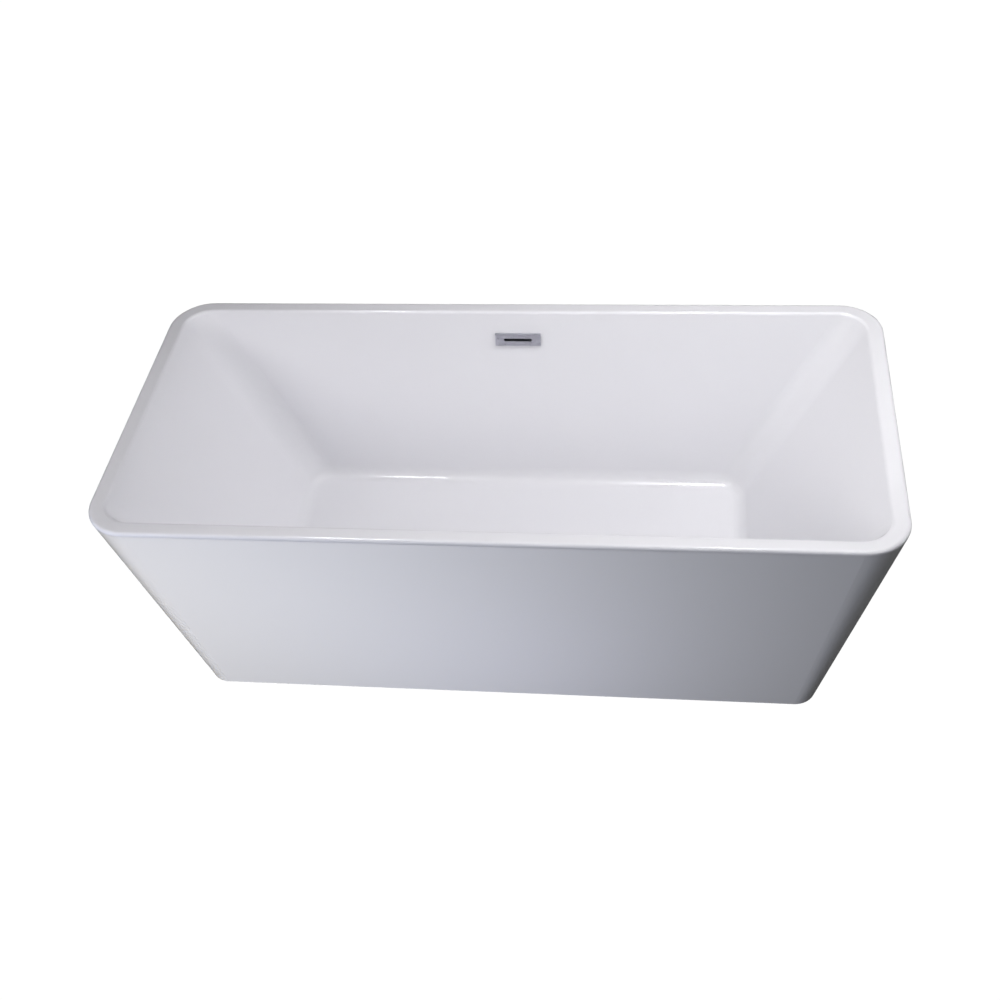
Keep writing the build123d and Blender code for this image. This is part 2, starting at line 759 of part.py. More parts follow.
def make_overflow_gasket():
    """Rubber gasket between the basin's back and the overflow's body."""
    length = box_length + 2 * gasket_overhang
    width = box_width + 2 * gasket_overhang
    gasket = Pos(0, 0, gasket_front - gasket_thickness / 2) * Box(length, width, gasket_thickness)
    gasket -= slot_prism(port_length, port_width, 2 * gasket_front, 0)
    return overflow_frame * drilled(gasket, overflow_screw_radius + screw_clearance)


def make_overflow_body():
    """Hollow body behind the basin's wall: a port through the wall, and an outlet barb below."""
    body = Pos(0, 0, box_middle) * Box(box_length, box_width, box_depth)
    body = fillet(body.edges().filter_by(Axis.Z), box_wall)
    outer_length = port_length - 2 * port_gap
    outer_width = port_width - 2 * port_gap
    body += slot_prism(outer_length, outer_width, box_front, -port_stop)
    barb_reach = box_width / 2 + barb_shoulder + barb_length
    downward = Pos(0, 0, box_middle) * Rot(90, 0, 0)
    body += downward * Pos(0, 0, barb_reach / 2) * Cylinder(barb_radius, barb_reach)
    hollow = Pos(0, 0, box_middle) * Box(
        box_length - 2 * box_wall, box_width - 2 * box_wall, box_depth - 2 * box_wall)
    for x, y in overflow_screw_places:
        boss_middle = box_front - overflow_boss_length / 2
        hollow -= Pos(x, y, boss_middle) * Cylinder(overflow_boss_radius, overflow_boss_length)
    body -= hollow
    body -= slot_prism(outer_length - 2 * port_wall, outer_width - 2 * port_wall, box_middle, -port_stop)
    body -= downward * Pos(0, 0, barb_reach / 2) * Cylinder(barb_bore_radius, barb_reach)
    for x, y in overflow_screw_places:
        pilot_depth = overflow_boss_length - box_wall
        pilot = Cylinder(overflow_screw_radius + screw_clearance, pilot_depth)
        body -= Pos(x, y, box_front - pilot_depth / 2) * pilot
    return overflow_frame * body


def make_overflow_screws():
    """The two screws that clamp the overflow, seated on the clamp plate."""
    length = clamp_plate_thickness - box_front + overflow_boss_length - 2 * box_wall
    pan_head = screw(overflow_screw_radius, length)
    return group(
        overflow_frame * Pos(x, y, clamp_plate_thickness) * pan_head for x, y in overflow_screw_places)


# ---- Overflow hose: down behind the rear wall, one bend, then level to the waste tee ----
hose_top = overflow_frame.from_local_coords(Vector(0, -barb_start, box_middle))
hose_drop = -overflow_frame.y_dir
hose_corner = hose_top + hose_drop * ((branch_z - hose_top.Z) / hose_drop.Z)
hose_end = Vector(0, branch_face + barb_shoulder, branch_z)
hose_turn = radians(hose_drop.get_angle(hose_end - hose_corner))
hose_short_run = min((hose_corner - hose_top).length, (hose_end - hose_corner).length)
hose_bend_radius = hose_bend_share * hose_short_run / tan(hose_turn / 2)


def hose_path():
    """Centre line of the hose: two straight runs joined by one tangent arc."""
    return FilletPolyline(hose_top, hose_corner, hose_end, radius=hose_bend_radius)


def make_hose():
    """Flexible hose from the overflow's body to the waste tee."""
    path = hose_path()
    start = Plane(origin=path @ 0, z_dir=path % 0)
    return sweep(start * Circle(hose_radius), path=path) - sweep(start * Circle(hose_bore_radius), path=path)


def hose_clamp():
    """Band clamp about the Z axis, its screw housing on the +Y side."""
    inner = hose_radius + clamp_clearance
    outer = inner + clamp_band_thickness
    housing = Pos(0, outer + clamp_housing_height / 2 - clamp_band_thickness / 2, 0) * Box(
        clamp_housing_length, clamp_housing_height, clamp_band_width)
    return (Cylinder(outer, clamp_band_width) + housing) - Cylinder(inner, clamp_band_width)


def make_hose_clamps():
    """Band clamps on the two ends of the hose."""
    path = hose_path()
    reach = clamp_place + clamp_band_width / 2
    top = Plane(origin=hose_top + hose_drop * reach, x_dir=(1, 0, 0), z_dir=-hose_drop)
    end_drop = path % 1
    end = Plane(origin=hose_end - end_drop * reach, x_dir=(1, 0, 0), z_dir=-end_drop)
    return group((top * hose_clamp(), end * hose_clamp()))


def make_nodes():
    """Every sub-part of the bathtub by its node's name."""
    nodes = {
        "basin_shell": make_basin(),
        "outer_skirt": make_skirt(),
        "base_board": make_base_board(),
        "front_rail": make_rail(-1),
        "rear_rail": make_rail(1),
        "rail_caps": make_rail_caps(),
        "board_screws": make_board_screws(),
        "weld_nuts": make_weld_nuts(),
        "lock_nuts": make_lock_nuts(),
        "front_batten": make_side_batten(-1),
        "rear_batten": make_side_batten(1),
        "left_batten": make_end_batten(-1),
        "right_batten": make_end_batten(1),
        "side_braces": group(place * brace(side_brace_reach) for place in side_brace_places()),
        "end_braces": group(place * brace(end_brace_reach) for place in end_brace_places()),
        "brace_screws": make_brace_screws(),
        "drain_body": make_drain_body(),
        "drain_upper_washer": make_upper_washer(),
        "drain_lower_washer": make_lower_washer(),
        "drain_lock_nut": make_drain_lock_nut(),
        "plug_cartridge": make_cartridge(),
        "plug_spring": make_spring(),
        "plug_stem": make_plug_stem(),
        "plug_cap": make_plug_cap(),
        "plug_seal": make_plug_seal(),
        "waste_tee": make_waste_tee(),
        "waste_tailpiece": make_tailpiece(),
        "slip_washer": make_slip_washer(),
        "slip_nut": make_slip_nut(),
        "overflow_cover": make_overflow_cover(),
        "overflow_clamp_plate": make_clamp_plate(),
        "overflow_screws": make_overflow_screws(),
        "overflow_gasket": make_overflow_gasket(),
        "overflow_body": make_overflow_body(),
        "overflow_hose": make_hose(),
        "hose_clamps": make_hose_clamps(),
    }
    member_names = ("left_end_member", "left_middle_member", "right_middle_member", "right_end_member")
    for name, x in zip(member_names, member_places):
        nodes[name] = make_cross_member(x)
    for name, (x, y) in foot_places.items():
        nodes[f"{name}_foot_rod"] = make_foot_rod(x, y)
        nodes[f"{name}_foot_pad"] = make_foot_pad(x, y)
        nodes[f"{name}_foot_sole"] = make_foot_sole(x, y)
    return nodes


os.makedirs("parts", exist_ok=True)
for node_name, solid in make_nodes().items():
    export_step(solid, f"parts/{node_name}.step")
hose_length = hose_path().length
print(f"hose: {hose_length:.1f} long, bend radius {hose_bend_radius:.1f}")
print(f"outlet pipe below its bead: {tail_bead_low - tail_floor_gap:.1f}")
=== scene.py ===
"""Looks of a freestanding acrylic bathtub: finishes, threads, hose, spring and a studio."""

import json
import logging
import math
from collections.abc import Mapping, Sequence
from dataclasses import dataclass
from enum import Enum
from typing import Any

import bmesh
import bpy
from mathutils import Matrix, Vector

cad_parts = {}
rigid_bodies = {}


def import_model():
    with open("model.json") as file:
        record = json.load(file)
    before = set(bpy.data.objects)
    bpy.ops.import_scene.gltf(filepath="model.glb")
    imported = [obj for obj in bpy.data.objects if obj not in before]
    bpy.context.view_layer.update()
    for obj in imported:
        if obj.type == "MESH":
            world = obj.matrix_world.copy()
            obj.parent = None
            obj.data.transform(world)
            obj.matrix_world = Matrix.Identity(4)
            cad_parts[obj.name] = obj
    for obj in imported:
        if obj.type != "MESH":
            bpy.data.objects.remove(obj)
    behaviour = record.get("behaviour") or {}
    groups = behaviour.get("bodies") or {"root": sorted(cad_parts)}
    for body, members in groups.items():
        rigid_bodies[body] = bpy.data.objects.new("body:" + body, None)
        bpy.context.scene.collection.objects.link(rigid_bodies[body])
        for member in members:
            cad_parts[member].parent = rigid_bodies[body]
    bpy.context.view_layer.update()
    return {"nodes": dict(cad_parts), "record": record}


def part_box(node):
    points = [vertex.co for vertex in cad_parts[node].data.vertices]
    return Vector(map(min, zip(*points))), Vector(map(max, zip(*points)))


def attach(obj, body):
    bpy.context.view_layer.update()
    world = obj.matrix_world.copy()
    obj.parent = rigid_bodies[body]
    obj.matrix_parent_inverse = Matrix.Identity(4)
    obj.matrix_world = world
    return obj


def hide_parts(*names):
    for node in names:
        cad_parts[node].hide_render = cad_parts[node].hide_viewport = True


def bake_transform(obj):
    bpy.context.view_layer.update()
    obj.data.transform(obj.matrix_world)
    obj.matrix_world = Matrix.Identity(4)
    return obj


LOG = logging.getLogger("bathtub")

Colour = tuple[float, float, float]
Point = tuple[float, float, float]
Size = tuple[float, float]

WHITE: Colour = (1.0, 1.0, 1.0)
EVEN: Point = (1, 1, 1)
FULL_TURN = 2.0 * math.pi
NOISE_MIDDLE = 0.5
MERGE_DISTANCE = 1e-7
BACKING_TOP = 0.5695
MIX_SHARE, MIX_FIRST, MIX_SECOND, MIX_COLOUR = 0, 6, 7, 2

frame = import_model()


class Axis(Enum):
    """The direction that a grain or a brushed finish runs in."""

    X = 0
    Y = 1
    Z = 2

    def stretch(self, along: float) -> Point:
        """Gives factors that draw a pattern out along this axis.

        Args:
            along: The factor on this axis, below 1 for a longer pattern.

        Returns:
            A factor for each axis, 1 on the other two.
        """
        return tuple(along if axis is self else 1.0 for axis in Axis)


class Backing(Enum):
    """Which faces of a moulded acrylic sheet carry the glass-fibre backing."""

    UNDERSIDE = "faces that look down"
    INSIDE = "faces that look up"


class Expr:
    """A node output that takes part in Python arithmetic and adds the matching Math nodes."""

    def __init__(self, nodes: "Nodes", socket: bpy.types.NodeSocket) -> None:
        """Keeps the tree and the output socket.

        Args:
            nodes: The tree that the socket belongs to.
            socket: The output that later nodes read.
        """
        self.nodes = nodes
        self.socket = socket

    def _with(self, operation: str, *values: Any) -> "Expr":
        """Adds one Math node.

        Args:
            operation: The Math node's operation.
            values: The numbers or expressions that it takes.

        Returns:
            The node's result.
        """
        inputs = dict(enumerate(values))
        return self.nodes.add("ShaderNodeMath", {"operation": operation}, inputs)

    def __add__(self, other: Any) -> "Expr":
        """Adds a number or an expression."""
        return self._with("ADD", self, other)

    def __radd__(self, other: Any) -> "Expr":
        """Adds this expression to a number."""
        return self._with("ADD", other, self)

    def __sub__(self, other: Any) -> "Expr":
        """Takes away a number or an expression."""
        return self._with("SUBTRACT", self, other)

    def __rsub__(self, other: Any) -> "Expr":
        """Takes this expression away from a number."""
        return self._with("SUBTRACT", other, self)

    def __mul__(self, other: Any) -> "Expr":
        """Multiplies by a number or an expression."""
        return self._with("MULTIPLY", self, other)

    def __rmul__(self, other: Any) -> "Expr":
        """Multiplies a number by this expression."""
        return self._with("MULTIPLY", other, self)

    def __truediv__(self, other: Any) -> "Expr":
        """Divides by a number or an expression."""
        return self._with("DIVIDE", self, other)

    def __rtruediv__(self, other: Any) -> "Expr":
        """Divides a number by this expression."""
        return self._with("DIVIDE", other, self)

    def __gt__(self, other: Any) -> "Expr":
        """Gives 1 where this is the greater one, and 0 elsewhere."""
        return self._with("GREATER_THAN", self, other)

    def __lt__(self, other: Any) -> "Expr":
        """Gives 1 where this is the smaller one, and 0 elsewhere."""
        return self._with("LESS_THAN", self, other)

    def wave(self) -> "Expr":
        """Gives a wave between 0 and 1 from an angle in radians."""
        return self._with("SINE", self) * 0.5 + 0.5

    def power(self, exponent: float) -> "Expr":
        """Raises to a power."""
        return self._with("POWER", self, exponent)


class Nodes:
    """Adds nodes to a shader or geometry tree and links them."""

    def __init__(self, tree: bpy.types.NodeTree) -> None:
        """Keeps the tree.

        Args:
            tree: The node tree to fill.
        """
        self.tree = tree

    def add(
        self,
        kind: str,
        settings: Mapping[str, Any] | None = None,
        inputs: Mapping[int | str, Any] | None = None,
        output: int | str = 0,
    ) -> Expr:
        """Adds a node of any type.

        Args:
            kind: The node's type name.
            settings: Its own settings, with a ramp's stops as (place, colour) pairs.
            inputs: The values or links of its sockets, by name or place.
            output: The socket that the result reads.

        Returns:
            The chosen output as an expression.
        """
        node = self.tree.nodes.new(kind)
        for name, value in (settings or {}).items():
            if name == "stops":
                self._stops(node.color_ramp, value)
            else:
                setattr(node, name, value)
        for key, value in (inputs or {}).items():
            if isinstance(value, Expr):
                self.tree.links.new(value.socket, node.inputs[key])
            else:
                node.inputs[key].default_value = value
        chosen = node.outputs[output] if len(node.outputs) else None
        return Expr(self, chosen)

    @staticmethod
    def _stops(ramp: bpy.types.ColorRamp, stops: Sequence[tuple[float, Colour]]) -> None:
        """Sets a colour ramp's stops.

        Args:
            ramp: The ramp to change.
            stops: Its places and colours, from low to high.
        """
        while len(ramp.elements) < len(stops):
            ramp.elements.new(1.0)
        for element, (place, colour) in zip(ramp.elements, stops):
            element.position = place
            element.color = (*colour, 1.0)


class Finish:
    """Shared steps of every finish: a material with one Principled shader."""

    def shade(self, nodes: Nodes, place: Expr) -> dict[str, Any]:
        """Gives the shader's inputs.

        Args:
            nodes: The material's nodes.
            place: Object coordinates in metres.

        Returns:
            Values and expressions by input name.
        """
        raise NotImplementedError

    def material(self, name: str) -> bpy.types.Material:
        """Makes the material.

        Args:
            name: The material's name.

        Returns:
            The finished material.
        """
        made = bpy.data.materials.new(name)
        made.use_nodes = True
        made.node_tree.nodes.clear()
        nodes = Nodes(made.node_tree)
        place = nodes.add("ShaderNodeTexCoord", output="Object")
        shader = nodes.add("ShaderNodeBsdfPrincipled", inputs=self.shade(nodes, place))
        nodes.add("ShaderNodeOutputMaterial", inputs={"Surface": shader})
        return made

    @staticmethod
    def noise(
        nodes: Nodes, place: Expr, scale: float, detail: float = 2.0, stretch: Point = EVEN
    ) -> Expr:
        """Adds a noise pattern.

        Args:
            nodes: The material's nodes.
            place: Object coordinates in metres.
            scale: Cells a metre.
            detail: How many finer layers it has.
            stretch: A factor on each axis of the coordinates.

        Returns:
            Values around 0.5.
        """
        if stretch != EVEN:
            place = nodes.add("ShaderNodeMapping", inputs={"Vector": place, "Scale": stretch})
        wanted = {"Vector": place, "Scale": scale, "Detail": detail}
        return nodes.add("ShaderNodeTexNoise", {"normalize": True}, wanted)

    @staticmethod
    def blend(nodes: Nodes, share: Expr, low: Any, high: Any) -> Expr:
        """Mixes two colours.

        Args:
            nodes: The material's nodes.
            share: The second colour's share.
            low: The first colour, or an expression of one.
            high: The second colour, or an expression of one.

        Returns:
            The mixed colour.
        """
        first, second = (c if isinstance(c, Expr) else (*c, 1.0) for c in (low, high))
        inputs = {MIX_SHARE: share, MIX_FIRST: first, MIX_SECOND: second}
        return nodes.add("ShaderNodeMix", {"data_type": "RGBA"}, inputs, MIX_COLOUR)

    @staticmethod
    def bump(nodes: Nodes, height: Expr, rise: float) -> Expr:
        """Turns heights into a normal.

        Args:
            nodes: The material's nodes.
            height: Heights from 0 to 1.
            rise: Metres from the lowest to the highest.

        Returns:
            The bumped normal.
        """
        inputs = {"Strength": 1.0, "Distance": rise, "Height": height}
        return nodes.add("ShaderNodeBump", {}, inputs)


@dataclass(frozen=True)
class MouldedAcrylic(Finish):
    """Polished sheet acrylic with a rough glass-fibre and resin backing."""

    colour: Colour
    backing: Backing
    backing_below: float
    gloss_roughness: float = 0.3
    resin: Colour = (0.66, 0.64, 0.56)
    strand: Colour = (0.83, 0.82, 0.77)
    facing_margin: float = 0.02
    drift_scale: float = 2.3
    drift_shade: float = 0.985
    strand_scale: float = 70.0
    strand_stretch: Point = (1.0, 3.2, 1.7)
    crossed_scale: float = 80.0
    crossed_stretch: Point = (3.4, 1.0, 1.2)
    strand_contrast: float = 3.0
    peel_scale: float = 260.0
    peel_share: float = 0.004
    smear_scale: float = 9.0
    smear_depth: float = 0.07
    backing_roughness: float = 0.42
    backing_unevenness: float = 0.15
    coat: float = 0.6
    coat_roughness: float = 0.035
    refraction: float = 1.49
    relief: float = 0.0008

    def shade(self, nodes: Nodes, place: Expr) -> dict[str, Any]:
        """Gives gloss acrylic on the show faces and fibre mat on the hidden ones.

        Args:
            nodes: The material's nodes.
            place: Object coordinates in metres.

        Returns:
            The shader's inputs.
        """
        height = nodes.add("ShaderNodeSeparateXYZ", inputs={0: place}, output="Z")
        facing = nodes.add("ShaderNodeNewGeometry", output="Normal")
        upward = nodes.add("ShaderNodeSeparateXYZ", inputs={0: facing}, output="Z")
        if self.backing is Backing.UNDERSIDE:
            turned = upward < -self.facing_margin
        else:
            turned = upward > self.facing_margin
        mat = turned * (height < self.backing_below)
        drift = self.noise(nodes, place, self.drift_scale, detail=3.0)
        deeper = tuple(self.drift_shade * c for c in self.colour)
        clean = self.blend(nodes, drift, deeper, self.colour)
        strands = self.noise(nodes, place, self.strand_scale, 5.0, self.strand_stretch)
        crossed = self.noise(nodes, place, self.crossed_scale, 5.0, self.crossed_stretch)
        fibres = (strands - crossed) * self.strand_contrast + NOISE_MIDDLE
        raw = self.blend(nodes, fibres, self.resin, self.strand)
        peel = self.noise(nodes, place, self.peel_scale, detail=1.0)
        smear = self.noise(nodes, place, self.smear_scale, detail=4.0)
        polished = (smear - NOISE_MIDDLE) * self.smear_depth + self.gloss_roughness
        heights = peel * (1 - mat) * self.peel_share + fibres * mat
        colour = self.blend(nodes, mat, clean, raw)
        smooth = polished * (1 - mat)
        coarse = (fibres * self.backing_unevenness + self.backing_roughness) * mat
        return {
            "Base Color": colour,
            "Roughness": smooth + coarse,
            "Coat Weight": (1 - mat) * self.coat,
            "Coat Roughness": self.coat_roughness,
            "IOR": self.refraction,
            "Normal": self.bump(nodes, heights, self.relief),
        }


@dataclass(frozen=True)
class ParticleBoard(Finish):
    """Raw pressed board of small wood chips."""

    dark: Colour = (0.34, 0.235, 0.135)
    middle: Colour = (0.55, 0.42, 0.27)
    pale: Colour = (0.74, 0.62, 0.44)
    chip_stretch: Point = (1.0, 1.9, 2.6)
    chip_scale: float = 210.0
    middle_stop: float = 0.45
    dust_scale: float = 35.0
    dust_share: float = 0.5
    roughness: float = 0.7
    unevenness: float = 0.16
    relief: float = 0.0003

    def shade(self, nodes: Nodes, place: Expr) -> dict[str, Any]:
        """Gives chips of several browns with a dusty, uneven face.

        Args:
            nodes: The material's nodes.
            place: Object coordinates in metres.

        Returns:
            The shader's inputs.
        """
        spread = {"Vector": place, "Scale": self.chip_stretch}
        laid = nodes.add("ShaderNodeMapping", inputs=spread)
        cells = {"Vector": laid, "Scale": self.chip_scale}
        chips = nodes.add("ShaderNodeTexVoronoi", {}, cells, "Color")
        tone = nodes.add("ShaderNodeSeparateColor", inputs={0: chips})
        stops = [(0.0, self.dark), (self.middle_stop, self.middle), (1.0, self.pale)]
        wood = nodes.add("ShaderNodeValToRGB", {"stops": stops}, {0: tone})
        dust = self.noise(nodes, place, self.dust_scale, detail=4.0)
        return {
            "Base Color": self.blend(nodes, dust * self.dust_share, wood, self.middle),
            "Roughness": dust * self.unevenness + self.roughness,
            "Normal": self.bump(nodes, tone + dust, self.relief),
        }


@dataclass(frozen=True)
class Softwood(Finish):
    """Planed softwood with grain along one axis."""

    grain: Axis
    early: Colour = (0.72, 0.55, 0.34)
    late: Colour = (0.47, 0.30, 0.15)
    ring_scale: float = 26.0
    ring_along: float = 0.06
    ring_count: float = 46.0
    ring_sharpness: float = 2.0
    ring_share: float = 0.7
    ring_height: float = 0.3
    fibre_scale: float = 900.0
    fibre_along: float = 0.03
    fibre_share: float = 0.3
    roughness: float = 0.55
    unevenness: float = 0.2
    relief: float = 0.00025

    def shade(self, nodes: Nodes, place: Expr) -> dict[str, Any]:
        """Gives long wavy year rings and fine fibres.

        Args:
            nodes: The material's nodes.
            place: Object coordinates in metres.

        Returns:
            The shader's inputs.
        """
        drift = self.noise(nodes, place, self.ring_scale, 2.0, self.grain.stretch(self.ring_along))
        rings = (drift * self.ring_count).wave()
        along = self.grain.stretch(self.fibre_along)
        fibre = self.noise(nodes, place, self.fibre_scale, 3.0, along)
        tone = rings.power(self.ring_sharpness) * self.ring_share + fibre * self.fibre_share
        return {
            "Base Color": self.blend(nodes, tone, self.early, self.late),
            "Roughness": fibre * self.unevenness + self.roughness,
            "Normal": self.bump(nodes, fibre + rings * self.ring_height, self.relief),
        }


@dataclass(frozen=True)
class Metal(Finish):
    """Bare or plated metal, polished, brushed or spangled."""

    colour: Colour
    shade_colour: Colour
    roughness: float
    wear: float
    grain: Axis | None = None
    spangle: float = 0.0
    smudge_scale: float = 55.0
    skin_scale: float = 1800.0
    skin_rise: float = 0.000006
    brushed_scale: float = 2600.0
    brushed_along: float = 0.015
    brushed_share: float = 0.7
    smudge_share: float = 0.3
    brushed_unevenness: float = 0.16
    brushed_rise: float = 0.00003
    flake_scale: float = 420.0
    flake_unevenness: float = 0.12

    def shade(self, nodes: Nodes, place: Expr) -> dict[str, Any]:
        """Gives metal whose gloss follows its brushing, spangle and handling marks.

        Args:
            nodes: The material's nodes.
            place: Object coordinates in metres.

        Returns:
            The shader's inputs.
        """
        smudge = self.noise(nodes, place, self.smudge_scale, detail=5.0)
        tone = smudge
        rough = (smudge - NOISE_MIDDLE) * self.wear + self.roughness
        relief = self.noise(nodes, place, self.skin_scale, detail=2.0)
        rise = self.skin_rise
        if self.grain is not None:
            along = self.grain.stretch(self.brushed_along)
            lines = self.noise(nodes, place, self.brushed_scale, 3.0, along)
            tone = lines * self.brushed_share + smudge * self.smudge_share
            rough = rough + (lines - NOISE_MIDDLE) * self.brushed_unevenness
            relief = lines
            rise = self.brushed_rise
        if self.spangle:
            spread = {"Vector": place, "Scale": self.flake_scale}
            cells = nodes.add("ShaderNodeTexVoronoi", {}, spread, "Color")
            flake = nodes.add("ShaderNodeSeparateColor", inputs={0: cells})
            tone = tone * (1 - self.spangle) + flake * self.spangle
            rough = rough + (flake - NOISE_MIDDLE) * self.flake_unevenness
        return {
            "Base Color": self.blend(nodes, tone, self.shade_colour, self.colour),
            "Metallic": 1.0,
            "Roughness": rough,
            "Normal": self.bump(nodes, relief, rise),
        }


@dataclass(frozen=True)
class PowderCoat(Finish):
    """Baked powder paint with a fine pebbled skin."""

    colour: Colour
    roughness: float = 0.42
    unevenness: float = 0.14
    pebble_scale: float = 620.0
    cloud_scale: float = 14.0
    cloud_share: float = 0.6
    cloud_gain: float = 1.5
    cloud_lift: float = 0.01
    relief: float = 0.00006

    def shade(self, nodes: Nodes, place: Expr) -> dict[str, Any]:
        """Gives a satin pebbled coat.

        Args:
            nodes: The material's nodes.
            place: Object coordinates in metres.

        Returns:
            The shader's inputs.
        """
        pebble = self.noise(nodes, place, self.pebble_scale, detail=2.0)
        cloud = self.noise(nodes, place, self.cloud_scale, detail=3.0)
        lifted = tuple(min(1.0, c * self.cloud_gain + self.cloud_lift) for c in self.colour)
        return {
            "Base Color": self.blend(nodes, cloud * self.cloud_share, self.colour, lifted),
            "Roughness": pebble * self.unevenness + self.roughness,
            "Normal": self.bump(nodes, pebble, self.relief),
        }


@dataclass(frozen=True)
class Moulding(Finish):
    """Moulded plastic or rubber with a fine eroded texture."""

    colour: Colour
    roughness: float
    texture_scale: float
    relief: float = 0.00004
    unevenness: float = 0.12
    flow_scale: float = 22.0
    flow_share: float = 0.7
    fine_share: float = 0.3
    flow_shade: float = 0.84

    def shade(self, nodes: Nodes, place: Expr) -> dict[str, Any]:
        """Gives an even moulded skin with flow clouds and a fine texture.

        Args:
            nodes: The material's nodes.
            place: Object coordinates in metres.

        Returns:
            The shader's inputs.
        """
        flow = self.noise(nodes, place, self.flow_scale, detail=4.0)
        fine = self.noise(nodes, place, self.texture_scale, detail=2.0)
        darker = tuple(self.flow_shade * c for c in self.colour)
        tone = flow * self.flow_share + fine * self.fine_share
        return {
            "Base Color": self.blend(nodes, tone, darker, self.colour),
            "Roughness": (fine - NOISE_MIDDLE) * self.unevenness + self.roughness,
            "Normal": self.bump(nodes, fine, self.relief),
        }


def finishes() -> dict[str, Finish]:
    """Gives each material slot's finish.

    Returns:
        Finishes by the record's slot names.
    """
    return {
        "basin_acrylic": MouldedAcrylic((0.86, 0.86, 0.885), Backing.UNDERSIDE, BACKING_TOP),
        "skirt_acrylic": MouldedAcrylic(
            (0.86, 0.865, 0.885), Backing.INSIDE, BACKING_TOP, gloss_roughness=0.32
        ),
        "board_wood": ParticleBoard(),
        "batten_wood": Softwood(Axis.X),
        "frame_steel": PowderCoat((0.022, 0.022, 0.025)),
        "zinc_steel": Metal(
            (0.74, 0.75, 0.76), (0.5, 0.51, 0.54), roughness=0.3, wear=0.2, spangle=0.5
        ),
        "chrome_brass": Metal(
            (0.86, 0.86, 0.88), (0.74, 0.74, 0.77), roughness=0.07, wear=0.06
        ),
        "cover_steel": Metal(
            (0.74, 0.74, 0.8), (0.52, 0.52, 0.58), roughness=0.3, wear=0.1, grain=Axis.X
        ),
        "white_plastic": Moulding((0.84, 0.84, 0.81), roughness=0.42, texture_scale=1300.0),
        "grey_plastic": Moulding((0.19, 0.2, 0.215), roughness=0.46, texture_scale=1300.0),
        "black_plastic": Moulding(
            (0.012, 0.012, 0.014), roughness=0.5, texture_scale=900.0, relief=0.00008
        ),
        "hose_plastic": Moulding((0.6, 0.61, 0.62), roughness=0.4, texture_scale=800.0),
        "black_rubber": Moulding(
            (0.008, 0.008, 0.009), roughness=0.72, texture_scale=700.0, relief=0.00007
        ),
        "spring_steel": Metal(
            (0.56, 0.56, 0.57), (0.34, 0.34, 0.35), roughness=0.28, wear=0.12, grain=Axis.Z
        ),
    }


class Rig:
    """A Geometry Nodes tree with named inputs, baked to a plain mesh."""

    def __init__(self, name: str, sizes: Sequence[str]) -> None:
        """Makes an empty tree with an input for each size and one for the material.

        Args:
            name: The tree's name.
            sizes: The names of its size inputs.
        """
        self.name = name
        self.tree = bpy.data.node_groups.new(name, "GeometryNodeTree")
        for side in ("INPUT", "OUTPUT"):
            self._socket("Geometry", side, "Geometry")
        self.keys = {size: self._socket(size, "INPUT", "Float") for size in sizes}
        self.keys["Material"] = self._socket("Material", "INPUT", "Material")
        self.nodes = Nodes(self.tree)

    def _socket(self, label: str, side: str, kind: str) -> str:
        """Adds a socket to the tree's interface.

        Args:
            label: The socket's name.
            side: Whether it is an input or an output.
            kind: What it carries.

        Returns:
            The socket's identifier.
        """
        face = self.tree.interface
        return face.new_socket(name=label, in_out=side, socket_type=f"NodeSocket{kind}").identifier

    def given(self, label: str) -> Expr:
        """Reads one of the tree's inputs.

        Args:
            label: The input's name.

        Returns:
            The input as an expression.
        """
        return self.nodes.add("NodeGroupInput", output=label)

    def join(self, *shapes: Expr) -> Expr:
        """Joins shapes into one geometry.

        Args:
            shapes: The shapes to join.

        Returns:
            The joined geometry.
        """
        joined = self.nodes.add("GeometryNodeJoinGeometry")
        target = joined.socket.node.inputs[0]
        for shape in shapes:
            self.tree.links.new(shape.socket, target)
        return joined

    def finish(self, shape: Expr) -> None:
        """Ends the tree with real geometry and a material.

        Args:
            shape: The geometry to give out.
        """
        real = self.nodes.add("GeometryNodeRealizeInstances", inputs={0: shape})
        wanted = {"Geometry": real, "Material": self.given("Material")}
        dressed = self.nodes.add("GeometryNodeSetMaterial", inputs=wanted)
        self.nodes.add("NodeGroupOutput", inputs={0: dressed})

    def bake(
        self, base: bpy.types.ID, values: Mapping[str, Any], shift: Matrix, name: str
    ) -> bpy.types.Mesh:
        """Runs the tree on a base and returns a plain mesh.

        Args:
            base: The curve or mesh that the modifier sits on.
            values: Each input's value by its name.
            shift: Where the result is placed.
            name: The mesh's name.

        Returns:
            The finished mesh, before its shading is smoothed.
        """
        carrier = bpy.data.objects.new(name + "_carrier", base)
        bpy.context.scene.collection.objects.link(carrier)
        modifier = carrier.modifiers.new(self.name, "NODES")
        modifier.node_group = self.tree
        for label, value in values.items():
            modifier[self.keys[label]] = value
        graph = bpy.context.evaluated_depsgraph_get()
        made = bpy.data.meshes.new_from_object(carrier.evaluated_get(graph))
        carrier.modifiers.remove(modifier)
        bpy.data.objects.remove(carrier)
        made.name = name
        made.transform(shift)
        return made


